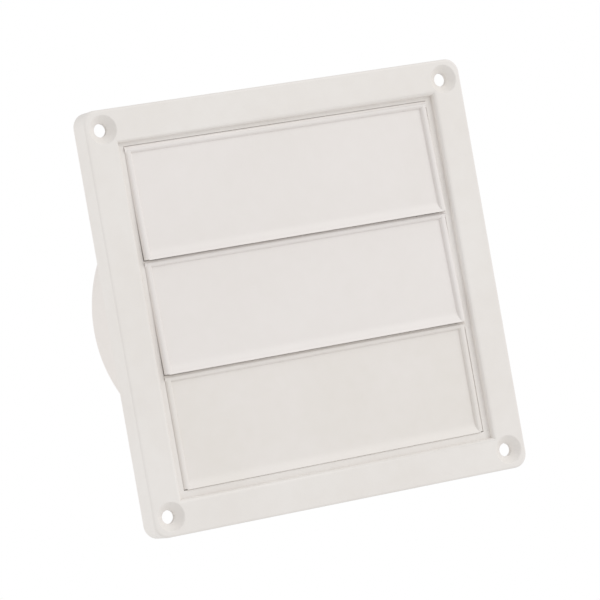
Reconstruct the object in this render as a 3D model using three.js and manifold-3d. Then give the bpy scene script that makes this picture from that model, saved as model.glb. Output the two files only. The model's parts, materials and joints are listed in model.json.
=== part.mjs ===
// Louvred wall vent cover for a 4 inch duct: a hollow-backed square face frame,
// three gravity louvres on thin hinge rods, and a plate with the duct collar on it,
// which closes the frame from behind and is held by four small screws.
// Millimetres. +Z up, +Y back into the wall, +X to the right seen from outdoors.
// The origin is on the duct axis, in the plane of the wall that the cover sits on.

import * as THREE from 'three';
import { mergeVertices } from 'three/addons/utils/BufferGeometryUtils.js';
import Module from 'manifold-3d';

const wasm = await Module();
wasm.setup();

// ---- driving dimensions ----

const gap = 0.3;                 // between neighbouring pieces that touch
const bite = 0.1;                // how far a rib or pad runs into the wall that it joins

const faceSize = 146;            // outside of the square face frame
const faceDepth = 8.8;           // from the wall to the front of the face
const faceCorner = 5;            // corner radius of the outline
const faceEdge = 0.8;            // easing of the outer front edge
const faceWall = 2.2;            // thickness of the front
const skirtWall = 1.6;           // thickness of the rim that meets the wall

const wellHalf = 61.1;           // half width of the square opening
const wellWall = 1.6;            // thickness of its walls
const wellEdge = 1.6;            // rounding of its front edge
const wellBackY = -2.7;          // rear edge of its walls
const ledgeHalf = 59.05;         // inner edges of the ledge around the louvres
const ledgeTopZ = 59.95;
const ledgeFrontY = -6.2;
const stepHalf = 57.6;           // a deeper step inside the ledge, behind the beads
const stepTopZ = 58.4;
const stepFrontY = -3.9;

const fixingOffset = 66.15;      // corner fixing holes, from the centre both ways
const fixingRadius = 2.35;
const fixingSinkRadius = 5;
const fixingSinkDepth = 2.5;
const fixingLand = 1.5;          // plain hole left under the countersink
const fixingBossRadius = 6.2;

const hingeY = -5.7;             // depth of the three hinge axes
const topHingeZ = 58.4;
const louvrePitch = 39.3;

const louvreHalf = 58.75;        // half width of a louvre
const louvreDrop = 37.75;        // hinge axis to the bottom edge
const beadRadius = 1.25;         // round bead along the top and both sides
const panelFront = 0.2;          // panel faces, behind the hinge axis
const panelBack = 1.5;
const lipRise = 4;               // height of the flared bottom lip
const lipThickness = 1.3;
const lipNose = 0.25;            // the front of its bottom edge reaches this much lower
const freeHang = 2.2;            // degrees that a louvre hangs forward when it is free

const rodRadius = 0.5;
const rodHalf = 65;

const plateHalfX = 65.4;
const plateHalfZ = 63.2;
const plateFrontY = -2.4;
const plateBackY = -0.4;
const collarRadius = 51;         // outside of the collar, for a 4 inch duct
const collarWall = 1.8;
const collarEndY = 64;
const collarLead = 0.8;          // chamfer that leads the duct on
const crossbarHalf = 3;          // half height of the bars behind the gaps between louvres
const stripFrontY = -4.9;        // the raised strip on each bar, close behind the gap
const stripHalf = 55.9;
const stripEndFrontY = -4.1;     // its ends lie lower, behind the side beads
const stripEndHalf = 57.3;
const stripBottom = 1.35;        // above the hinge axis below it
const stripTop = 2.2;

const screwX = 40;               // plate screws, from the centre
const screwZ = 67.2;
const screwShank = 1.3;
const screwHead = 2.4;
const screwLength = 6.4;
const screwPoint = 1.5;          // length of its tapered point
const screwRim = 0.3;            // straight rim of its head
const recessArm = 1.5;           // half length of an arm of its cross recess
const recessHalf = 0.3;          // half width of an arm
const recessFloor = -1;
const earRadius = 3.8;
const bossRadius = 3;

const sillTopZ = -58.5;          // strip along the bottom of the opening
const sillFrontY = -6.5;
const stopTopZ = -57.35;         // the lowest louvre closes against this step behind the sill

const ribHalf = 0.6;             // half thickness of a stiffening rib
const ribPlaces = [-55, -20, 20, 55];
const hingeRibLow = -3.2;        // a rib below each hinge, from its axis
const hingeRibHigh = -2;
const rodStopHalf = 2.3;         // half height of the stop past each rod end
const rodStopWall = 1.4;
const padHalf = 1.6;             // half height of the pad behind each rod end

// ---- sizes that follow ----

const half = faceSize / 2;
const frontY = -faceDepth;
const faceBackY = frontY + faceWall;
const skirtInside = half - skirtWall;
const wellOutside = wellHalf + wellWall;
const hingeHeights = [0, 1, 2].map((i) => topHingeZ - i * louvrePitch);
const louvreGap = louvrePitch - louvreDrop - beadRadius;
const sides = [-1, 1];
const corners = [[-1, 1], [1, 1], [1, -1], [-1, -1]];

// ---- solids ----

function toSolid(geometry) {
  geometry.deleteAttribute('normal');
  geometry.deleteAttribute('uv');
  const merged = mergeVertices(geometry, 1e-4);
  return new wasm.Manifold(new wasm.Mesh({
    numProp: 3,
    vertProperties: new Float32Array(merged.attributes.position.array),
    triVerts: new Uint32Array(merged.index.array),
  }));
}

function toGeometry(solid) {
  const mesh = solid.getMesh();
  const geometry = new THREE.BufferGeometry();
  geometry.setAttribute('position', new THREE.BufferAttribute(mesh.vertProperties, 3));
  geometry.setIndex(new THREE.BufferAttribute(mesh.triVerts, 1));
  geometry.computeVertexNormals();
  return geometry;
}

function join(solids) {
  return solids.reduce((whole, solid) => whole.add(solid));
}

function cut(solid, tools) {
  return solid.subtract(join(tools));
}

// A box between two corners.
function block([x0, y0, z0], [x1, y1, z1]) {
  const geometry = new THREE.BoxGeometry(x1 - x0, y1 - y0, z1 - z0);
  geometry.translate((x0 + x1) / 2, (y0 + y1) / 2, (z0 + z1) / 2);
  return toSolid(geometry);
}

// A box that grows from the axis to the same half width all round.
function squareBar(halfWidth, y0, y1) {
  return block([-halfWidth, y0, -halfWidth], [halfWidth, y1, halfWidth]);
}

// A round bar along Y, or a cone when the two radii differ.
function roundY(frontRadius, backRadius, y0, y1, x = 0, z = 0, facets = 32) {
  const geometry = new THREE.CylinderGeometry(backRadius, frontRadius, y1 - y0, facets);
  geometry.translate(x, (y0 + y1) / 2, z);
  return toSolid(geometry);
}

// A round bar along X through the local origin.
function roundX(radius, halfLength, facets = 24) {
  const geometry = new THREE.CylinderGeometry(radius, radius, 2 * halfLength, facets);
  geometry.rotateZ(Math.PI / 2);
  return toSolid(geometry);
}

// A square frustum along Y.
function squareTaper(frontHalf, backHalf, y0, y1) {
  const geometry = new THREE.CylinderGeometry(
    backHalf * Math.SQRT2, frontHalf * Math.SQRT2, y1 - y0, 4, 1, false, Math.PI / 4);
  geometry.translate(0, (y0 + y1) / 2, 0);
  return toSolid(geometry);
}

// The space in front of a quarter round along the edge of the opening.
function openingFlare(steps = 4) {
  const points = Array.from({ length: steps + 1 }, (_, i) => {
    const turn = (i / steps) * (Math.PI / 2);
    return [wellHalf + wellEdge * (1 - Math.sin(turn)), frontY + wellEdge * (1 - Math.cos(turn))];
  });
  return points.slice(1).map(([back, y1], i) => {
    const [front, y0] = points[i];
    return squareTaper(front, back, y0, y1);
  });
}

// A square outline with round corners.
function roundedSquare(halfWidth, radius) {
  const shape = new THREE.Shape();
  const inner = halfWidth - radius;
  shape.absarc(inner, inner, radius, 0, Math.PI / 2);
  shape.absarc(-inner, inner, radius, Math.PI / 2, Math.PI);
  shape.absarc(-inner, -inner, radius, Math.PI, 1.5 * Math.PI);
  shape.absarc(inner, -inner, radius, 1.5 * Math.PI, 2 * Math.PI);
  return shape;
}

// The outline pushed along -Y from y1 to y0, with its front edge eased if asked.
function roundedBlock(halfWidth, radius, y0, y1, edge = 0) {
  const shape = roundedSquare(halfWidth - edge, radius - edge);
  const geometry = new THREE.ExtrudeGeometry(shape, {
    depth: y1 - y0 - edge,
    curveSegments: 8,
    bevelEnabled: edge > 0,
    bevelThickness: edge,
    bevelSize: edge,
    bevelSegments: 3,
  });
  geometry.rotateX(Math.PI / 2);
  geometry.translate(0, y1, 0);
  return toSolid(geometry);
}

// ---- face frame ----

// The front and its rim, open at the back.
function faceShell() {
  const body = roundedBlock(half, faceCorner, frontY, 0, faceEdge);
  const behindWall = squareBar(half + 1, 0, 2);
  const hollow = roundedBlock(skirtInside, faceCorner - skirtWall, faceBackY, 3);
  return cut(body, [behindWall, hollow]);
}

// The opening: full size down to the ledge, smaller down to the step, and then right through.
function openingSpaces() {
  return [
    squareBar(wellHalf, frontY - 1, ledgeFrontY),
    block([-ledgeHalf, frontY - 1, -wellHalf], [ledgeHalf, stepFrontY, ledgeTopZ]),
    block([-stepHalf, frontY - 1, -wellHalf], [stepHalf, 0, stepTopZ]),
  ];
}

function fixingBosses() {
  const back = frontY + fixingSinkDepth + fixingLand;
  return corners.map(([sx, sz]) => roundY(
    fixingBossRadius, fixingBossRadius, faceBackY - 0.5, back, sx * fixingOffset, sz * fixingOffset));
}

function fixingHoles() {
  const sinkBack = frontY + fixingSinkDepth;
  return corners.flatMap(([sx, sz]) => [
    roundY(fixingRadius, fixingRadius, frontY - 1, 0, sx * fixingOffset, sz * fixingOffset),
    roundY(fixingSinkRadius, fixingRadius, frontY, sinkBack, sx * fixingOffset, sz * fixingOffset),
  ]);
}

function screwBosses() {
  return corners.map(([sx, sz]) => roundY(
    bossRadius, bossRadius, faceBackY - 0.5, wellBackY, sx * screwX, sz * screwZ, 24));
}

function screwPilots() {
  const pilot = screwShank + gap;
  const bottom = plateBackY - screwLength - gap;
  return corners.map(([sx, sz]) => roundY(pilot, pilot, bottom, 0, sx * screwX, sz * screwZ, 20));
}

// Ribs across the hollow above and below the opening.
function crossRibs() {
  return ribPlaces.flatMap((x) => sides.map((side) => {
    const inner = side * (wellOutside - bite);
    const outer = side * (skirtInside + bite);
    return block(
      [x - ribHalf, faceBackY - bite, Math.min(inner, outer)],
      [x + ribHalf, wellBackY, Math.max(inner, outer)]);
  }));
}

// Beside each hinge: a rib across the hollow, and a stop past the end of the rod.
function hingeRibs() {
  const stopFace = rodHalf + gap;
  return hingeHeights.flatMap((z) => sides.flatMap((side) => {
    const spans = [
      [wellOutside - bite, skirtInside + bite, z + hingeRibLow, z + hingeRibHigh],
      [stopFace, stopFace + rodStopWall, z - rodStopHalf, z + rodStopHalf],
    ];
    return spans.map(([near, far, low, high]) => block(
      [Math.min(side * near, side * far), faceBackY - bite, low],
      [Math.max(side * near, side * far), wellBackY, high]));
  }));
}

// Slots in the side walls, open to the rear, that the rods drop into.
function rodSlots() {
  const reach = wellOutside + bite;
  const width = rodRadius + gap;
  return hingeHeights.flatMap((z) => [
    roundX(width, reach).translate([0, hingeY, z]),
    block([-reach, hingeY, z - width], [reach, wellBackY + 1, z + width]),
  ]);
}

// The sill, and the step behind it that stands up behind the lip of the lowest louvre.
function sill() {
  const reach = wellHalf + bite;
  return [
    block([-reach, sillFrontY, -reach], [reach, wellBackY, sillTopZ]),
    block([-stripHalf, stripFrontY, sillTopZ - bite], [stripHalf, wellBackY, stopTopZ]),
    block([-reach, stripEndFrontY, sillTopZ - bite], [reach, wellBackY, stopTopZ]),
  ];
}

function faceFrame() {
  const shell = join([
    faceShell(), squareBar(wellOutside, frontY + faceEdge, wellBackY),
    ...fixingBosses(), ...screwBosses(), ...crossRibs(), ...hingeRibs(),
  ]);
  const drilled = cut(shell, [
    ...openingSpaces(), ...openingFlare(), ...fixingHoles(), ...screwPilots(), ...rodSlots(),
  ]);
  return join([drilled, ...sill()]);
}

// ---- duct collar ----

function collarEars() {
  return corners.flatMap(([sx, sz]) => {
    const near = sz * (plateHalfZ - 0.5);
    const far = sz * screwZ;
    return [
      roundY(earRadius, earRadius, plateFrontY, plateBackY, sx * screwX, sz * screwZ, 28),
      block(
        [sx * screwX - earRadius, plateFrontY, Math.min(near, far)],
        [sx * screwX + earRadius, plateBackY, Math.max(near, far)]),
    ];
  });
}

function earHoles() {
  const hole = screwShank + gap;
  const sink = screwHead + gap;
  const sinkDepth = sink - hole;
  return corners.flatMap(([sx, sz]) => [
    roundY(hole, hole, plateFrontY - 1, plateBackY + 1, sx * screwX, sz * screwZ, 20),
    roundY(hole, sink, plateBackY - sinkDepth, plateBackY, sx * screwX, sz * screwZ, 20),
  ]);
}

// Behind each rod end, on the front of the plate: a pad, and a tongue that fills the slot.
function rodPads() {
  const front = hingeY + rodRadius + gap;
  const spans = [
    [wellOutside + gap, rodHalf, padHalf],
    [ledgeHalf + gap, wellOutside + gap + bite, rodRadius],
  ];
  return hingeHeights.flatMap((z) => sides.flatMap((side) => spans.map(([near, far, high]) => block(
    [Math.min(side * near, side * far), front, z - high],
    [Math.max(side * near, side * far), plateFrontY + bite, z + high]))));
}

// Bars across the mouth of the duct behind the two gaps between louvres, each with a strip
// on it that the lip of the louvre above closes against.
function crossbars() {
  return hingeHeights.slice(1).flatMap((hingeZ) => {
    const middle = hingeZ + beadRadius + louvreGap / 2;
    return [
      block(
        [-collarRadius, plateFrontY, middle - crossbarHalf],
        [collarRadius, plateBackY, middle + crossbarHalf]),
      block(
        [-stripHalf, stripFrontY, hingeZ + stripBottom],
        [stripHalf, plateFrontY + bite, hingeZ + stripTop]),
      block(
        [-stripEndHalf, stripEndFrontY, hingeZ + stripBottom],
        [stripEndHalf, plateFrontY + bite, hingeZ + stripTop]),
    ];
  });
}

function ductCollar() {
  const facets = 96;
  const bore = collarRadius - collarWall;
  const plate = block([-plateHalfX, plateFrontY, -plateHalfZ], [plateHalfX, plateBackY, plateHalfZ]);
  const tube = roundY(collarRadius, collarRadius, plateFrontY, collarEndY - collarLead, 0, 0, facets);
  const lead = roundY(
    collarRadius, collarRadius - collarLead, collarEndY - collarLead, collarEndY, 0, 0, facets);
  const passage = roundY(bore, bore, plateFrontY - 1, collarEndY + 1, 0, 0, facets);
  const body = join([plate, tube, lead, ...collarEars(), ...rodPads()]);
  return join([cut(body, [passage, ...earHoles()]), ...crossbars()]);
}

// ---- louvre, hung from its own hinge axis ----

// The panel and its forward-flared lip in section: right is back, up is up.
function louvreSection() {
  const kneeZ = lipRise - louvreDrop;
  const shape = new THREE.Shape();
  shape.moveTo(panelFront, 0);
  shape.lineTo(panelFront, kneeZ);
  shape.quadraticCurveTo(panelFront, kneeZ - lipRise / 2, -beadRadius, -louvreDrop - lipNose);
  shape.lineTo(lipThickness - beadRadius, -louvreDrop);
  shape.quadraticCurveTo(panelBack, kneeZ - lipRise / 2, panelBack, kneeZ);
  shape.lineTo(panelBack, 0);
  shape.closePath();
  return shape;
}

function louvrePanel() {
  const reach = louvreHalf - beadRadius;
  const geometry = new THREE.ExtrudeGeometry(louvreSection(), {
    depth: 2 * reach,
    curveSegments: 6,
    bevelEnabled: false,
  });
  geometry.translate(0, 0, -reach);
  geometry.applyMatrix4(new THREE.Matrix4().makeBasis(
    new THREE.Vector3(0, 1, 0), new THREE.Vector3(0, 0, 1), new THREE.Vector3(1, 0, 0)));
  return toSolid(geometry);
}

function sideBead(side) {
  const geometry = new THREE.CylinderGeometry(beadRadius, beadRadius, louvreDrop, 24);
  geometry.rotateX(Math.PI / 2);
  geometry.translate(side * (louvreHalf - beadRadius), 0, -louvreDrop / 2);
  return toSolid(geometry);
}

function louvre() {
  const body = join([louvrePanel(), roundX(beadRadius, louvreHalf), ...sides.map(sideBead)]);
  return body.subtract(roundX(rodRadius + gap, louvreHalf + 1));
}

// ---- small hardware ----

function hingeRod() {
  return roundX(rodRadius, rodHalf, 16);
}

// A countersunk self-tapping screw with its head at +Y and a cross recess.
function plateScrew() {
  const tip = screwLength - screwPoint;
  const profile = [
    [0, -screwLength],
    [screwShank * 0.35, -screwLength],
    [screwShank, -tip],
    [screwShank, screwShank - screwHead - screwRim],
    [screwHead, -screwRim],
    [screwHead, -bite],
    [0, -bite],
  ].map(([r, y]) => new THREE.Vector2(r, y));
  const body = toSolid(new THREE.LatheGeometry(profile, 20));
  const slots = [
    block([-recessArm, recessFloor, -recessHalf], [recessArm, 1, recessHalf]),
    block([-recessHalf, recessFloor, -recessArm], [recessHalf, 1, recessArm]),
  ];
  return cut(body, slots);
}

// ---- assembly ----

const plastic = { color: 0xe8e3de, roughness: 0.45, metalness: 0 };
const louvrePlastic = new THREE.MeshStandardMaterial({ ...plastic, name: 'louvre plastic' });
const framePlastic = new THREE.MeshStandardMaterial({ ...plastic, name: 'frame plastic' });
const acetal = new THREE.MeshStandardMaterial({ color: 0xf0eeea, roughness: 0.35, metalness: 0 });
const zinc = new THREE.MeshStandardMaterial({ color: 0xa9acb0, roughness: 0.38, metalness: 1 });

const vent = new THREE.Group();

function place(name, solid, material, position = [0, 0, 0], parent = vent) {
  const mesh = new THREE.Mesh(toGeometry(solid), material);
  mesh.name = name;
  mesh.position.set(...position);
  parent.add(mesh);
}

place('face_frame', faceFrame(), framePlastic);
place('duct_collar', ductCollar(), framePlastic);

// The upper two louvres hang free, the lowest one rests closed.
const levels = [
  { name: 'top', hang: freeHang },
  { name: 'middle', hang: freeHang },
  { name: 'bottom', hang: 0 },
];

levels.forEach(({ name, hang }, i) => {
  const hinge = new THREE.Group();
  hinge.position.set(0, hingeY, hingeHeights[i]);
  vent.add(hinge);
  place(`hinge_rod_${name}`, hingeRod(), acetal, [0, 0, 0], hinge);

  const swing = new THREE.Group();
  swing.rotation.x = -THREE.MathUtils.degToRad(hang);
  hinge.add(swing);
  place(`louver_${name}`, louvre(), louvrePlastic, [0, 0, 0], swing);
});

corners.forEach(([sx, sz], i) => {
  place(`plate_screw_${i + 1}`, plateScrew(), zinc, [sx * screwX, plateBackY, sz * screwZ]);
});

export default vent;
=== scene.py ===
import json
import math

import bpy
from mathutils import Matrix, Vector


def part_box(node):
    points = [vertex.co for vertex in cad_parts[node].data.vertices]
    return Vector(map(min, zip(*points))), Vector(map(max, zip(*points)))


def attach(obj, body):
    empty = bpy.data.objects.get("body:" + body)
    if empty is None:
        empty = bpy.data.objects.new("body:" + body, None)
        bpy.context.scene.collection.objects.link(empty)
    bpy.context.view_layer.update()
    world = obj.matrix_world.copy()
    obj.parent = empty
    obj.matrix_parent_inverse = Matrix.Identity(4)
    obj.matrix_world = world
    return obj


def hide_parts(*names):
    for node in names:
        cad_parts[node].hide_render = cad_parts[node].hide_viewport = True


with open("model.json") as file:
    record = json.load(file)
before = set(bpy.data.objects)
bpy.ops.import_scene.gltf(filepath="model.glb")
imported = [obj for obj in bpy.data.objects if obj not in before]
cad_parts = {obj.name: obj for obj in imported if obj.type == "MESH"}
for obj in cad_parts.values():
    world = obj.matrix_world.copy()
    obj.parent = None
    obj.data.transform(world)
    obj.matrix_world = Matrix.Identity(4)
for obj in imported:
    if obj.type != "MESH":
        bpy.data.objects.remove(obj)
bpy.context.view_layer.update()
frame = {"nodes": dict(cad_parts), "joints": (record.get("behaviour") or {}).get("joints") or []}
bpy.ops.object.select_all(action="DESELECT")
print("frame loaded:", ", ".join(sorted(frame["nodes"])))

mm = 0.001
across, along, up = Vector((1, 0, 0)), Vector((0, 1, 0)), Vector((0, 0, 1))
corners = [(-1, 1), (1, 1), (1, -1), (-1, -1)]
frameLow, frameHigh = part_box("face_frame")
hinges = [Vector(joint["pos_m"]) for joint in frame["joints"]]
levels = ["top", "middle", "bottom"]
flapBodies = [joint["child"] for joint in frame["joints"]]


# the camera: long lens, from the left of the cover, rolled so that the right side stands higher
view = {
    "place": Vector((-602.16, -1210.92, -5.03)) * mm,
    "turn": -26.44,
    "rise": 0.14,
    "roll": -10.0,
    "lens": 234.4,
}


def placeCamera():
    camera = bpy.data.objects.new("camera", bpy.data.cameras.new("camera"))
    bpy.context.scene.collection.objects.link(camera)
    turn = Matrix.Rotation(math.radians(view["turn"]), 4, "Z")
    tip = Matrix.Rotation(math.radians(90 + view["rise"]), 4, "X")
    roll = Matrix.Rotation(math.radians(view["roll"]), 4, "Z")
    camera.matrix_world = Matrix.Translation(view["place"]) @ turn @ tip @ roll
    camera.data.lens = view["lens"]
    camera.data.clip_start = 0.05
    camera.data.clip_end = 50
    bpy.context.scene.camera = camera


placeCamera()
print("camera placed")


# working with the mesh tools

def pick(piece):
    bpy.ops.object.select_all(action="DESELECT")
    piece.select_set(True)
    bpy.context.view_layer.objects.active = piece


def settle(piece, name=None):
    # puts the place into the mesh and leaves the object at the origin
    pick(piece)
    bpy.ops.object.transform_apply(location=True, rotation=True, scale=True)
    if name:
        piece.name = piece.data.name = name
    return piece


def addBlock(low, high):
    low, high = Vector(low), Vector(high)
    bpy.ops.mesh.primitive_cube_add(size=1, location=(low + high) / 2, scale=high - low)
    return settle(bpy.context.object)


def addBar(radius, start, end, facets=48):
    start, end = Vector(start), Vector(end)
    facing = (end - start).to_track_quat("Z", "Y").to_euler()
    bpy.ops.mesh.primitive_cylinder_add(
        vertices=facets, radius=radius, depth=(end - start).length,
        location=(start + end) / 2, rotation=facing)
    return settle(bpy.context.object)


def addTurned(profile, at=(0, 0, 0), facets=64, square=False):
    # a solid turned about Y: the profile lists (y, radius) from one end to the other;
    # a square one has four facets, and its radius is the half width
    count, grow, spin = (4, math.sqrt(2), math.radians(45)) if square else (facets, 1, 0)
    (y0, r0), (y1, r1) = profile[:2]
    bpy.ops.mesh.primitive_cone_add(
        vertices=count, radius1=r0 * grow, radius2=r1 * grow, depth=y1 - y0,
        location=(0, 0, (y0 + y1) / 2), rotation=(0, 0, spin))
    bar = settle(bpy.context.object)
    selectOnly(bar, "FACE", lambda centre, normal: normal.z > 0.9)
    for (y0, r0), (y1, r1) in zip(profile[1:], profile[2:]):
        bpy.ops.mesh.extrude_region_move(TRANSFORM_OT_translate={"value": (0, 0, y1 - y0)})
        bpy.ops.transform.resize(value=(r1 / r0, r1 / r0, 1))
    bpy.ops.object.mode_set(mode="OBJECT")
    bar.rotation_euler = (math.radians(-90), 0, 0)
    bar.location = at
    return settle(bar)


def arc(y, radius, size, fromTurn, toTurn, steps=6):
    # profile points on a quarter round of this size about the point (y, radius)
    turns = [math.radians(fromTurn + (toTurn - fromTurn) * i / steps) for i in range(steps + 1)]
    return [(y + size * math.sin(t), radius + size * math.cos(t)) for t in turns]


def carve(piece, tools, operation="DIFFERENCE"):
    for tool in tools:
        pick(piece)
        change = piece.modifiers.new("carve", "BOOLEAN")
        change.operation = operation
        change.object = tool
        change.solver = "EXACT"
        bpy.ops.object.modifier_apply(modifier=change.name)
        bpy.data.objects.remove(tool)


def weld(piece, tools):
    carve(piece, tools, "UNION")


def selectOnly(piece, kind, test):
    # leaves edit mode on, with just the edges or faces that pass the test selected
    pick(piece)
    bpy.ops.object.mode_set(mode="EDIT")
    bpy.ops.mesh.select_mode(type=kind)
    bpy.ops.mesh.select_all(action="DESELECT")
    bpy.ops.object.mode_set(mode="OBJECT")
    mesh = piece.data
    if kind == "EDGE":
        for edge in mesh.edges:
            edge.select = test(*[mesh.vertices[v].co for v in edge.vertices])
    else:
        for face in mesh.polygons:
            face.select = test(face.center, face.normal)
    bpy.ops.object.mode_set(mode="EDIT")


def roundEdges(piece, test, width, segments=4):
    selectOnly(piece, "EDGE", test)
    bpy.ops.mesh.bevel(offset=width, segments=segments, affect="EDGES")
    bpy.ops.object.mode_set(mode="OBJECT")


def near(value, target, margin=0.01 * mm):
    return abs(value - target) < margin


seamWidth = 0.004 * mm


def mergeSeams(piece):
    pick(piece)
    bpy.ops.object.mode_set(mode="EDIT")
    bpy.ops.mesh.select_all(action="SELECT")
    bpy.ops.mesh.remove_doubles(threshold=seamWidth)
    bpy.ops.mesh.normals_make_consistent(inside=False)
    bpy.ops.object.mode_set(mode="OBJECT")


def softenEdges(piece, width, segments, angle=32):
    # breaks every sharp edge that is left, as a mould does
    pick(piece)
    bevel = piece.modifiers.new("soft edges", "BEVEL")
    bevel.width = width
    bevel.segments = segments
    bevel.limit_method = "ANGLE"
    bevel.angle_limit = math.radians(angle)
    bevel.use_clamp_overlap = True
    bpy.ops.object.modifier_apply(modifier=bevel.name)


def smoothShade(piece, angle=32):
    # round faces shade smooth while the flats beside them stay flat
    pick(piece)
    bpy.ops.object.shade_smooth_by_angle(angle=math.radians(angle))
    even = piece.modifiers.new("even shading", "WEIGHTED_NORMAL")
    even.mode = "FACE_AREA"
    even.weight = 50
    even.keep_sharp = True
    bpy.ops.object.modifier_apply(modifier=even.name)


def copyOf(piece, name, move):
    twin = piece.copy()
    twin.data = piece.data.copy()
    bpy.context.scene.collection.objects.link(twin)
    twin.data.transform(move)
    twin.name = twin.data.name = name
    return twin


def finishPiece(piece, body, node, material):
    piece.data.materials.clear()
    piece.data.materials.append(material)
    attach(piece, body)
    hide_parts(node)


# materials

def linear(hexColour):
    # sRGB hex to the linear values that the shaders take
    parts = [int(hexColour[i:i + 2], 16) / 255 for i in (1, 3, 5)]
    return [*(c / 12.92 if c <= 0.04045 else ((c + 0.055) / 1.055) ** 2.4 for c in parts), 1]


def perMetre(sizeMm):
    # texture scale for a feature of this size
    return 1 / (sizeMm * mm)


def newMaterial(name):
    material = bpy.data.materials.new(name)
    material.use_nodes = True
    material.node_tree.nodes.clear()
    return material, material.node_tree


def addNode(tree, kind, settings=None, links=None):
    node = tree.nodes.new(kind)
    for key, value in (settings or {}).items():
        if isinstance(key, int) or key in node.inputs:
            node.inputs[key].default_value = value
        else:
            setattr(node, key, value)
    for key, source in (links or {}).items():
        tree.links.new(source, node.inputs[key])
    return node


# ASA, injection moulded in a lightly grained tool: a warm white satin with a soft sheen,
# a barely seen drift in tone where the melt cooled, and a fine grain that breaks the highlights
plasticLook = {
    "driftMm": 38,
    "mottleMm": 5,
    "driftShare": 0.65,
    "mottleShare": 0.35,
    "toneRange": (0.32, 0.68),
    "grainMm": 0.55,      # the real grain is nearer 0.1 mm; this is as fine as shows
    "waveMm": 16,
    "grainDepth": 0.012 * mm,
    "waveDepth": 0.03 * mm,
    "roughLow": 0.40,
    "roughHigh": 0.52,
    "ior": 1.5,
}


def mouldedWhite(name, light, dark):
    look = plasticLook
    material, tree = newMaterial(name)
    place = addNode(tree, "ShaderNodeTexCoord").outputs["Object"]
    drift = addNode(tree, "ShaderNodeTexNoise",
                    {"Scale": perMetre(look["driftMm"]), "Detail": 2.0, "Roughness": 0.5},
                    {"Vector": place})
    mottle = addNode(tree, "ShaderNodeTexNoise",
                     {"Scale": perMetre(look["mottleMm"]), "Detail": 3.0, "Roughness": 0.55},
                     {"Vector": place})
    blend = addNode(tree, "ShaderNodeMath", {"operation": "MULTIPLY_ADD", 1: look["driftShare"]},
                    {0: drift.outputs["Fac"]})
    share = addNode(tree, "ShaderNodeMath", {"operation": "MULTIPLY", 1: look["mottleShare"]},
                    {0: mottle.outputs["Fac"]})
    tree.links.new(share.outputs[0], blend.inputs[2])
    tone = addNode(tree, "ShaderNodeValToRGB", links={"Fac": blend.outputs[0]})
    for end, position, colour in zip(tone.color_ramp.elements, look["toneRange"], (dark, light)):
        end.position = position
        end.color = linear(colour)
    rough = addNode(tree, "ShaderNodeMapRange",
                    {"From Min": 0.3, "From Max": 0.7,
                     "To Min": look["roughLow"], "To Max": look["roughHigh"]},
                    {"Value": mottle.outputs["Fac"]})
    grain = addNode(tree, "ShaderNodeTexNoise",
                    {"Scale": perMetre(look["grainMm"]), "Detail": 2.0, "Roughness": 0.6},
                    {"Vector": place})
    wave = addNode(tree, "ShaderNodeTexNoise",
                   {"Scale": perMetre(look["waveMm"]), "Detail": 1.0},
                   {"Vector": place})
    waveBump = addNode(tree, "ShaderNodeBump", {"Strength": 1.0, "Distance": look["waveDepth"]},
                       {"Height": wave.outputs["Fac"]})
    grainBump = addNode(tree, "ShaderNodeBump", {"Strength": 1.0, "Distance": look["grainDepth"]},
                        {"Height": grain.outputs["Fac"], "Normal": waveBump.outputs["Normal"]})
    surface = addNode(tree, "ShaderNodeBsdfPrincipled",
                      {"IOR": look["ior"], "Metallic": 0.0},
                      {"Base Color": tone.outputs["Color"], "Roughness": rough.outputs["Result"],
                       "Normal": grainBump.outputs["Normal"]})
    addNode(tree, "ShaderNodeOutputMaterial", links={"Surface": surface.outputs[0]})
    return material


# acetal, extruded rod: a dense, waxy white with a clearer sheen than the mouldings
acetalLook = {
    "drawMm": 0.3,        # width of the drawing lines
    "drawStretch": 0.05,  # they run along the rod
    "dark": "#ece8e1",
    "light": "#f3f0ea",
    "roughLow": 0.3,
    "roughHigh": 0.4,
    "ior": 1.48,
}


def acetalRod():
    look = acetalLook
    material, tree = newMaterial("white acetal rod")
    place = addNode(tree, "ShaderNodeTexCoord").outputs["Object"]
    stretch = addNode(tree, "ShaderNodeMapping", {"Scale": (look["drawStretch"], 1, 1)},
                      {"Vector": place})
    lines = addNode(tree, "ShaderNodeTexNoise", {"Scale": perMetre(look["drawMm"]), "Detail": 2.0},
                    {"Vector": stretch.outputs[0]})
    tone = addNode(tree, "ShaderNodeValToRGB", links={"Fac": lines.outputs["Fac"]})
    tone.color_ramp.elements[0].color = linear(look["dark"])
    tone.color_ramp.elements[1].color = linear(look["light"])
    rough = addNode(tree, "ShaderNodeMapRange",
                    {"To Min": look["roughLow"], "To Max": look["roughHigh"]},
                    {"Value": lines.outputs["Fac"]})
    surface = addNode(tree, "ShaderNodeBsdfPrincipled", {"IOR": look["ior"]},
                      {"Base Color": tone.outputs["Color"], "Roughness": rough.outputs["Result"]})
    addNode(tree, "ShaderNodeOutputMaterial", links={"Surface": surface.outputs[0]})
    return material


# steel, bright zinc plated: cool grey with a faint cloudy passivate
zincLook = {
    "cloudMm": 1.2,
    "dark": "#8f959c",
    "light": "#c3c8cc",
    "roughLow": 0.26,
    "roughHigh": 0.46,
}


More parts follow.
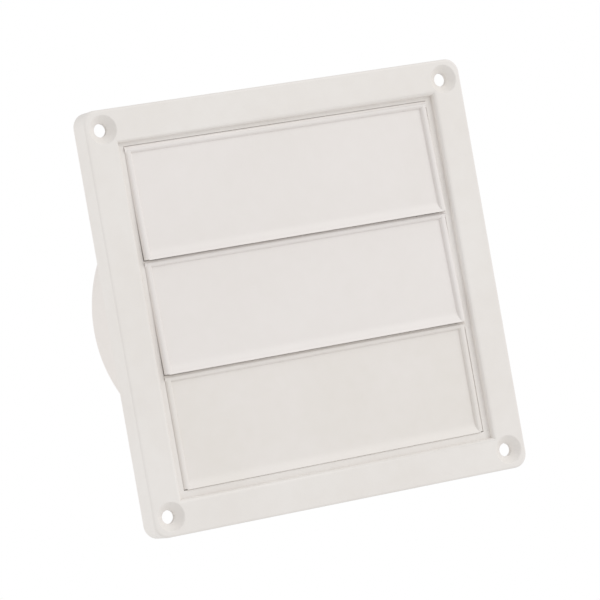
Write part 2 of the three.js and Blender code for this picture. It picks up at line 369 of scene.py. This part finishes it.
def zincPlate():
    look = zincLook
    material, tree = newMaterial("bright zinc plate")
    place = addNode(tree, "ShaderNodeTexCoord").outputs["Object"]
    cloud = addNode(tree, "ShaderNodeTexNoise", {"Scale": perMetre(look["cloudMm"]), "Detail": 3.0},
                    {"Vector": place})
    tone = addNode(tree, "ShaderNodeValToRGB", links={"Fac": cloud.outputs["Fac"]})
    tone.color_ramp.elements[0].color = linear(look["dark"])
    tone.color_ramp.elements[1].color = linear(look["light"])
    rough = addNode(tree, "ShaderNodeMapRange",
                    {"To Min": look["roughLow"], "To Max": look["roughHigh"]},
                    {"Value": cloud.outputs["Fac"]})
    surface = addNode(tree, "ShaderNodeBsdfPrincipled", {"Metallic": 1.0},
                      {"Base Color": tone.outputs["Color"], "Roughness": rough.outputs["Result"]})
    addNode(tree, "ShaderNodeOutputMaterial", links={"Surface": surface.outputs[0]})
    return material


framePlastic = mouldedWhite("moulded white ASA, frame", "#efebe7", "#ebe6e1")
collarPlastic = mouldedWhite("moulded white ASA, collar", "#f1ece8", "#ede7e2")
louvrePlastic = {
    "top": mouldedWhite("moulded white ASA, upper louvre", "#eee9e6", "#ebe6e2"),
    "middle": mouldedWhite("moulded white ASA, middle louvre", "#eee9e6", "#ebe6e2"),
    # the lowest louvre's tones are a step darker than the two above: painted shade for the lower
    # light it gets under lamps from above
    "bottom": mouldedWhite("moulded white ASA, lowest louvre, painted shade", "#ede8e4", "#e9e4de"),
}
acetal = acetalRod()
zinc = zincPlate()
print("materials made")


# the face frame: hollow behind, with a square well that the louvres hang in
faceSizes = {
    "cornerRadius": 5 * mm,
    "edgeRound": 0.9 * mm,
    "front": 2.2 * mm,
    "rim": 1.6 * mm,
    "wellHalf": 61.1 * mm,
    "wellWall": 1.6 * mm,
    "wellBack": -2.7 * mm,
    "wellRound": 1.6 * mm,
    "ledgeHalf": 58.79 * mm,
    "ledgeTop": 59.69 * mm,
    "ledgeFront": -6.35 * mm,
    "stepHalf": 57.6 * mm,
    "stepTop": 58.4 * mm,
    "stepFront": -3.9 * mm,
    "fixing": 66.15 * mm,
    "holeRadius": 2.35 * mm,
    "sinkRadius": 4.8 * mm,
    "sinkEase": 0.4 * mm,
    "sinkDepth": 2.5 * mm,
    "land": 1.5 * mm,
    "bossRadius": 6.2 * mm,
    "sillTop": -58.45 * mm,
    "sillFront": -6.5 * mm,
    "stopTop": -57.35 * mm,   # the lowest louvre closes against this step behind the sill
    "slotRadius": 0.55 * mm,
    "ribs": [-55 * mm, -20 * mm, 20 * mm, 55 * mm],
    "ribHalf": 0.6 * mm,
    "hingeRibLow": 3.2 * mm,  # the ribs below each hinge, measured down from it
    "hingeRibHigh": 2 * mm,
    "stopGap": 0.3 * mm,      # the stops past the rod ends
    "stopWall": 1.4 * mm,
    "stopHalf": 2.3 * mm,
    "screwBoss": 3 * mm,
    "screwHole": 1.6 * mm,
    "screwDepth": 7.1 * mm,
    "sillRound": 0.25 * mm,
}
# the louvres close against strips, whose ends lie lower behind the side beads
strips = [(55.9 * mm, -4.9 * mm), (57.3 * mm, -4.1 * mm)]
screwOffset = {"x": 40 * mm, "z": 67.2 * mm}
screwPlaces = [Vector((sx * screwOffset["x"], 0, sz * screwOffset["z"])) for sx, sz in corners]
rodEnd = 65 * mm
bite = 0.1 * mm       # how far welded pieces reach into each other
lap = 0.02 * mm       # keeps the faces of welded pieces from lying in one plane
clear = 2 * mm        # how far a cutter stands out of what it cuts


def faceShell():
    s = faceSizes
    shell = addBlock(frameLow, frameHigh)
    roundEdges(shell, lambda a, b: near(a.x, b.x) and near(a.z, b.z), s["cornerRadius"], 12)
    roundEdges(shell, lambda a, b: near(a.y, frameLow.y) and near(b.y, frameLow.y),
               s["edgeRound"], 5)
    selectOnly(shell, "FACE", lambda centre, normal: normal.y > 0.9)
    bpy.ops.mesh.inset(thickness=s["rim"], depth=0)
    hollow = frameHigh.y - frameLow.y - s["front"]
    bpy.ops.mesh.extrude_region_move(TRANSFORM_OT_translate={"value": (0, -hollow, 0)})
    bpy.ops.object.mode_set(mode="OBJECT")
    return shell


def hollowRibs():
    s = faceSizes
    floor = frameLow.y + s["front"] - bite
    inner = s["wellHalf"] + s["wellWall"] - bite
    outer = frameHigh.x - s["rim"] + bite
    ribs = []
    for x in s["ribs"]:
        for side in (-1, 1):
            low, high = sorted((side * inner, side * outer))
            ribs.append(addBlock((x - s["ribHalf"], floor, low),
                                 (x + s["ribHalf"], s["wellBack"], high)))
    stop = rodEnd + s["stopGap"]
    for hinge in hinges:
        for side in (-1, 1):
            low, high = sorted((side * inner, side * outer))
            ribs.append(addBlock((low, floor, hinge.z - s["hingeRibLow"]),
                                 (high, s["wellBack"], hinge.z - s["hingeRibHigh"])))
            low, high = sorted((side * stop, side * (stop + s["stopWall"])))
            ribs.append(addBlock((low, floor, hinge.z - s["stopHalf"]),
                                 (high, s["wellBack"], hinge.z + s["stopHalf"])))
    return ribs


def openingCutter():
    # the square opening down to the ledge; its front edge flares along a quarter round
    s = faceSizes
    flare = s["wellHalf"] + s["wellRound"]
    lip = arc(frameLow.y + s["wellRound"], flare, -s["wellRound"], 90, 0)
    profile = [(frameLow.y - clear, flare), *lip, (s["ledgeFront"], s["wellHalf"])]
    return addTurned(profile, square=True)


def fixingCutter(at):
    # the countersink, its eased rim, and the hole behind it
    s = faceSizes
    rim = s["sinkRadius"] + s["sinkEase"]
    return addTurned([
        (frameLow.y - clear, rim),
        (frameLow.y, rim),
        (frameLow.y + s["sinkEase"] * 0.35, s["sinkRadius"] + s["sinkEase"] * 0.3),
        (frameLow.y + s["sinkEase"], s["sinkRadius"] - s["sinkEase"] * 0.2),
        (frameLow.y + s["sinkDepth"], s["holeRadius"]),
        (3 * mm, s["holeRadius"]),
    ], at)


def makeFaceFrame():
    s = faceSizes
    wellOut = s["wellHalf"] + s["wellWall"]
    inside = frameLow.y + 1 * mm
    frameBody = faceShell()
    weld(frameBody, [addBlock((-wellOut, inside, -wellOut), (wellOut, s["wellBack"], wellOut))])
    bossBack = frameLow.y + s["sinkDepth"] + s["land"]
    fixings = [Vector((sx * s["fixing"], 0, sz * s["fixing"])) for sx, sz in corners]
    weld(frameBody, [addBar(s["bossRadius"], at + along * inside, at + along * bossBack)
                     for at in fixings])
    weld(frameBody, [addBar(s["screwBoss"], at + along * inside, at + along * s["wellBack"])
                     for at in screwPlaces])
    weld(frameBody, hollowRibs())
    carve(frameBody, [openingCutter(), *[fixingCutter(at) for at in fixings]])
    ledgeLow = -s["wellHalf"] + bite / 2
    stepLow = ledgeLow + bite / 2
    carve(frameBody, [
        addBlock((-s["ledgeHalf"], frameLow.y, ledgeLow),
                 (s["ledgeHalf"], s["stepFront"], s["ledgeTop"])),
        addBlock((-s["stepHalf"], frameLow.y, stepLow), (s["stepHalf"], 1 * mm, s["stepTop"])),
    ])
    carve(frameBody, [addBar(s["screwHole"], at - along * s["screwDepth"], at, 32)
                      for at in screwPlaces])
    reach = wellOut + bite
    for hinge in hinges:
        slot = s["slotRadius"]
        carve(frameBody, [
            addBar(slot, hinge - across * reach, hinge + across * reach, 32),
            addBlock((-reach, hinge.y, hinge.z - slot), (reach, 0, hinge.z + slot)),
        ])
    grip = s["wellHalf"] + bite
    sill = addBlock((-grip, s["sillFront"], -grip), (grip, s["wellBack"] - lap, s["sillTop"]))
    atNose = lambda v: near(v.y, s["sillFront"]) and near(v.z, s["sillTop"])
    roundEdges(sill, lambda a, b: atNose(a) and atNose(b), s["sillRound"])
    weld(frameBody, [sill])
    for half, front in strips:
        weld(frameBody, [addBlock((-half, front, s["sillTop"] - 1 * mm),
                                  (half, s["wellBack"] - 2 * lap, s["stopTop"]))])
    mergeSeams(frameBody)
    smoothShade(frameBody)
    frameBody.name = frameBody.data.name = "face_frame_shell"
    finishPiece(frameBody, "housing", "face_frame", framePlastic)


makeFaceFrame()
print("face frame made")


# the plate that closes the frame from behind, with the duct collar on it
collarLow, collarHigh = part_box("duct_collar")
collarSizes = {
    "plateHalfX": 65.4 * mm,
    "plateHalfZ": 63.2 * mm,
    "plateFront": -2.4 * mm,
    "plateBack": -0.4 * mm,
    "radius": 51 * mm,
    "wall": 1.8 * mm,
    "lead": 0.8 * mm,
    "rootRound": 1 * mm,
    "earRadius": 3.8 * mm,
    "barHalf": 3 * mm,
    "barDrop": 1.4 * mm,      # middle of a crossbar above the hinge below it
    "stripBottom": 1.35 * mm,
    "stripTop": 2.2 * mm,
    "corner": 1 * mm,
    "edge": 0.4 * mm,
    "boreEase": 0.4 * mm,
    "hole": 1.6 * mm,
    "sink": 2.7 * mm,
    # behind each rod end, a pad and a tongue that fills the slot: from, to, half height
    "pads": [(63 * mm, rodEnd, 1.6 * mm), (59.35 * mm, 63.1 * mm, 0.45 * mm)],
    "padFront": 0.8 * mm,     # behind the hinge
}


def collarTube():
    # root fillet, straight collar, eased end
    s = collarSizes
    fillet = s["rootRound"]
    root = arc(s["plateBack"] + fillet, s["radius"] + fillet, -fillet, 90, 0)
    end = arc(collarHigh.y - s["lead"], s["radius"] - s["lead"], s["lead"], 0, 90)
    return addTurned([(s["plateFront"], root[0][1]), *root, *end], facets=192)


def makeCollar():
    s = collarSizes
    plate = addBlock((-s["plateHalfX"], s["plateFront"], -s["plateHalfZ"]),
                     (s["plateHalfX"], s["plateBack"], s["plateHalfZ"]))
    roundEdges(plate, lambda a, b: near(a.x, b.x) and near(a.z, b.z), s["corner"], 5)
    roundEdges(plate, lambda a, b: near(a.y, s["plateBack"]) and near(b.y, s["plateBack"]),
               s["edge"], 3)
    for at in screwPlaces:
        low, high = sorted((math.copysign(s["plateHalfZ"] - 1 * mm, at.z), at.z))
        reach = s["earRadius"] - lap
        weld(plate, [
            addBlock((at.x - reach, s["plateFront"] + lap, low),
                     (at.x + reach, s["plateBack"] - lap, high)),
            addBar(s["earRadius"], at + along * s["plateFront"], at + along * s["plateBack"], 60),
        ])
    weld(plate, [collarTube()])
    bore = s["radius"] - s["wall"]
    ease = s["boreEase"]
    mouth = arc(collarHigh.y - ease, bore + ease, -ease, 0, -90)
    cut = [(-10 * mm, bore), *mouth, (collarHigh.y + 5 * mm, mouth[-1][1])]
    carve(plate, [addTurned(cut, facets=192)])
    hole, sink = s["hole"], s["sink"]
    for at in screwPlaces:
        carve(plate, [addTurned([(-5 * mm, hole), (s["plateBack"] - sink + hole, hole),
                                 (s["plateBack"], sink), (clear, sink)], at, 40)])
    for hinge in hinges[1:]:
        middle = hinge.z + s["barDrop"]
        bar = addBlock((-s["radius"], s["plateFront"] + lap, middle - s["barHalf"]),
                       (s["radius"], s["plateBack"] - lap, middle + s["barHalf"]))
        roundEdges(bar, lambda a, b: near(a.y, b.y) and near(a.z, b.z), s["edge"], 3)
        weld(plate, [bar])
        for half, front in strips:
            weld(plate, [addBlock((-half, front, hinge.z + s["stripBottom"]),
                                  (half, s["plateFront"] + 0.3 * mm, hinge.z + s["stripTop"]))])
    for hinge in hinges:
        for start, far, half in s["pads"]:
            for side in (-1, 1):
                low, high = sorted((side * start, side * far))
                weld(plate, [addBlock((low, hinge.y + s["padFront"], hinge.z - half),
                                      (high, s["plateFront"] + bite, hinge.z + half))])
    mergeSeams(plate)
    smoothShade(plate)
    plate.name = plate.data.name = "duct_collar_plate"
    finishPiece(plate, "housing", "duct_collar", collarPlastic)


makeCollar()
print("duct collar made")


# a louvre, modelled hanging straight down from a hinge at the origin
louvreSizes = {
    "half": 58.75 * mm,
    "drop": 37.98 * mm,
    "bead": 1.25 * mm,
    "front": -0.1 * mm,
    "thick": 1.6 * mm,
    "lipThick": 1.3 * mm,
    "nose": 0.25 * mm,        # the front of the bottom edge reaches this much lower
    "lip": 4 * mm,
    "lipSteps": 8,
    "bore": 0.8 * mm,
    "boreReach": 70 * mm,
    "soft": 0.16 * mm,
}
hangs = {"top": 2.2, "middle": 2.2, "bottom": 0}


def lipPoint(part):
    # front of the lip in section, from the knee to the bottom edge
    s = louvreSizes
    knee = s["lip"] - s["drop"]
    turnAt = knee - s["lip"] / 2
    y = (1 - part ** 2) * s["front"] - part ** 2 * s["bead"]
    z = (1 - part) ** 2 * knee + 2 * part * (1 - part) * turnAt - part ** 2 * s["drop"]
    return Vector((0, y, z))


def makeLouvre():
    s = louvreSizes
    reach = s["half"] - s["bead"]
    panel = addBlock((-reach, s["front"], s["lip"] - s["drop"]),
                     (reach, s["front"] + s["thick"], 0))
    selectOnly(panel, "FACE", lambda centre, normal: normal.z < -0.9)
    for step in range(s["lipSteps"]):
        move = lipPoint((step + 1) / s["lipSteps"]) - lipPoint(step / s["lipSteps"])
        bpy.ops.mesh.extrude_region_move(TRANSFORM_OT_translate={"value": move})
    bpy.ops.object.mode_set(mode="OBJECT")
    frontEdge, backEdge = -s["bead"], s["thick"] - s["bead"]
    slim = s["thick"] - s["lipThick"]
    for y, move in [(frontEdge, -up * s["nose"]), (backEdge, -along * slim)]:
        atEdge = lambda v: near(v.y, y) and near(v.z, -s["drop"])
        selectOnly(panel, "EDGE", lambda a, b: atEdge(a) and atEdge(b))
        bpy.ops.transform.translate(value=move)
        bpy.ops.object.mode_set(mode="OBJECT")
    weld(panel, [addBar(s["bead"], across * -s["half"], across * s["half"])])
    for side in (-1, 1):
        top = across * side * reach
        weld(panel, [addBar(s["bead"], top, top - up * s["drop"])])
    carve(panel, [addBar(s["bore"], across * -s["boreReach"], across * s["boreReach"], 32)])
    mergeSeams(panel)
    softenEdges(panel, s["soft"], 3)
    smoothShade(panel)
    return panel


def hangLouvres():
    master = makeLouvre()
    for level, hinge, body in zip(levels, hinges, flapBodies):
        swing = Matrix.Rotation(-math.radians(hangs[level]), 4, "X")
        piece = copyOf(master, "louver_" + level + "_flap", Matrix.Translation(hinge) @ swing)
        finishPiece(piece, body, "louver_" + level, louvrePlastic[level])
    bpy.data.objects.remove(master)


hangLouvres()
print("louvres hung")


# the hinge rods, with eased ends
rodSizes = {
    "radius": 0.5 * mm,
    "ease": 0.15 * mm,
}


def makeRods():
    master = addBar(rodSizes["radius"], across * -rodEnd, across * rodEnd, 32)
    roundEdges(master, lambda a, b: near(a.x, b.x), rodSizes["ease"], 3)
    smoothShade(master)
    for level, hinge in zip(levels, hinges):
        piece = copyOf(master, "hinge_rod_" + level + "_acetal", Matrix.Translation(hinge))
        finishPiece(piece, "housing", "hinge_rod_" + level, acetal)
    bpy.data.objects.remove(master)


# the plate screws: countersunk head with a cross recess, turned crests for the thread
screwSizes = {
    "head": 2.4 * mm,
    "headTop": -0.1 * mm,
    "headRim": -0.3 * mm,
    "shank": 1.3 * mm,
    "root": 0.95 * mm,
    "pitch": 0.9 * mm,
    "turns": 4,
    "point": 1.2 * mm,
    "pointShare": 0.3,        # of the shank's radius
    "recessArm": 1.5 * mm,
    "recessHalf": 0.3 * mm,
    "recessFloor": -0.9 * mm,
}


def makeScrews():
    s = screwSizes
    neck = s["headRim"] - (s["head"] - s["shank"])
    crests = []
    for turn in range(s["turns"]):
        crests += [(neck - (turn + 0.5) * s["pitch"], s["root"]),
                   (neck - (turn + 1) * s["pitch"], s["shank"])]
    tip = crests[-1][0]
    profile = [(s["headTop"], s["head"]), (s["headRim"], s["head"]), (neck, s["shank"]), *crests,
               (tip - s["point"], s["shank"] * s["pointShare"])]
    master = addTurned(profile[::-1], facets=32)
    arm, slot, floor = s["recessArm"], s["recessHalf"], s["recessFloor"]
    carve(master, [
        addBlock((-arm, floor, -slot), (arm, 1 * mm, slot)),
        addBlock((-slot, floor, -arm), (slot, 1 * mm, arm)),
    ])
    smoothShade(master, 25)
    for index, at in enumerate(screwPlaces):
        move = Matrix.Translation(at + along * collarSizes["plateBack"])
        piece = copyOf(master, "plate_screw_" + str(index + 1) + "_csk", move)
        finishPiece(piece, "housing", "plate_screw_" + str(index + 1), zinc)
    bpy.data.objects.remove(master)


makeRods()
makeScrews()
print("rods and screws made")


# a pale floor well below the cover, and soft studio light from above and the right
studio = {
    "floorBelow": 0.4,
    "floorHalf": 2.0,
    "paper": "#f8f8f8",
    "sky": 0.71,
    "key": {"size": 1.2, "power": 16, "place": Vector((1.4, -1.5, 1.3))},
    "rim": {"size": 1.2, "power": 7.0, "place": Vector((-1.9, 0.5, 0.3))},
}


def addSoftbox(name):
    s = studio[name]
    lamp = bpy.data.lights.new(name + " softbox", "AREA")
    lamp.shape = "SQUARE"
    lamp.size = s["size"]
    lamp.energy = s["power"]
    box = bpy.data.objects.new(name + " softbox", lamp)
    bpy.context.scene.collection.objects.link(box)
    box.location = s["place"]
    box.rotation_euler = (-s["place"]).to_track_quat("-Z", "Y").to_euler()


def lightStudio():
    s = studio
    bpy.ops.mesh.primitive_plane_add(size=2 * s["floorHalf"], location=(0, 0, -s["floorBelow"]))
    floor = settle(bpy.context.object, "studio_floor")
    paper, tree = newMaterial("pale studio paper")
    surface = addNode(tree, "ShaderNodeBsdfDiffuse", {"Color": linear(s["paper"])})
    addNode(tree, "ShaderNodeOutputMaterial", links={"Surface": surface.outputs[0]})
    floor.data.materials.append(paper)
    addSoftbox("key")
    addSoftbox("rim")
    world = bpy.data.worlds.new("white studio")
    bpy.context.scene.world = world
    world.use_nodes = True
    tree = world.node_tree
    tree.nodes.clear()
    path = addNode(tree, "ShaderNodeLightPath")
    level = addNode(tree, "ShaderNodeMapRange", {"To Min": s["sky"], "To Max": 1.0},
                    {"Value": path.outputs["Is Camera Ray"]})
    sky = addNode(tree, "ShaderNodeBackground", {"Color": (1, 1, 1, 1)},
                  {"Strength": level.outputs["Result"]})
    addNode(tree, "ShaderNodeOutputWorld", links={"Surface": sky.outputs[0]})
    bpy.context.scene.view_settings.view_transform = "Standard"
    bpy.context.scene.view_settings.look = "None"


lightStudio()
print("studio lit")

bpy.ops.object.select_all(action="DESELECT")
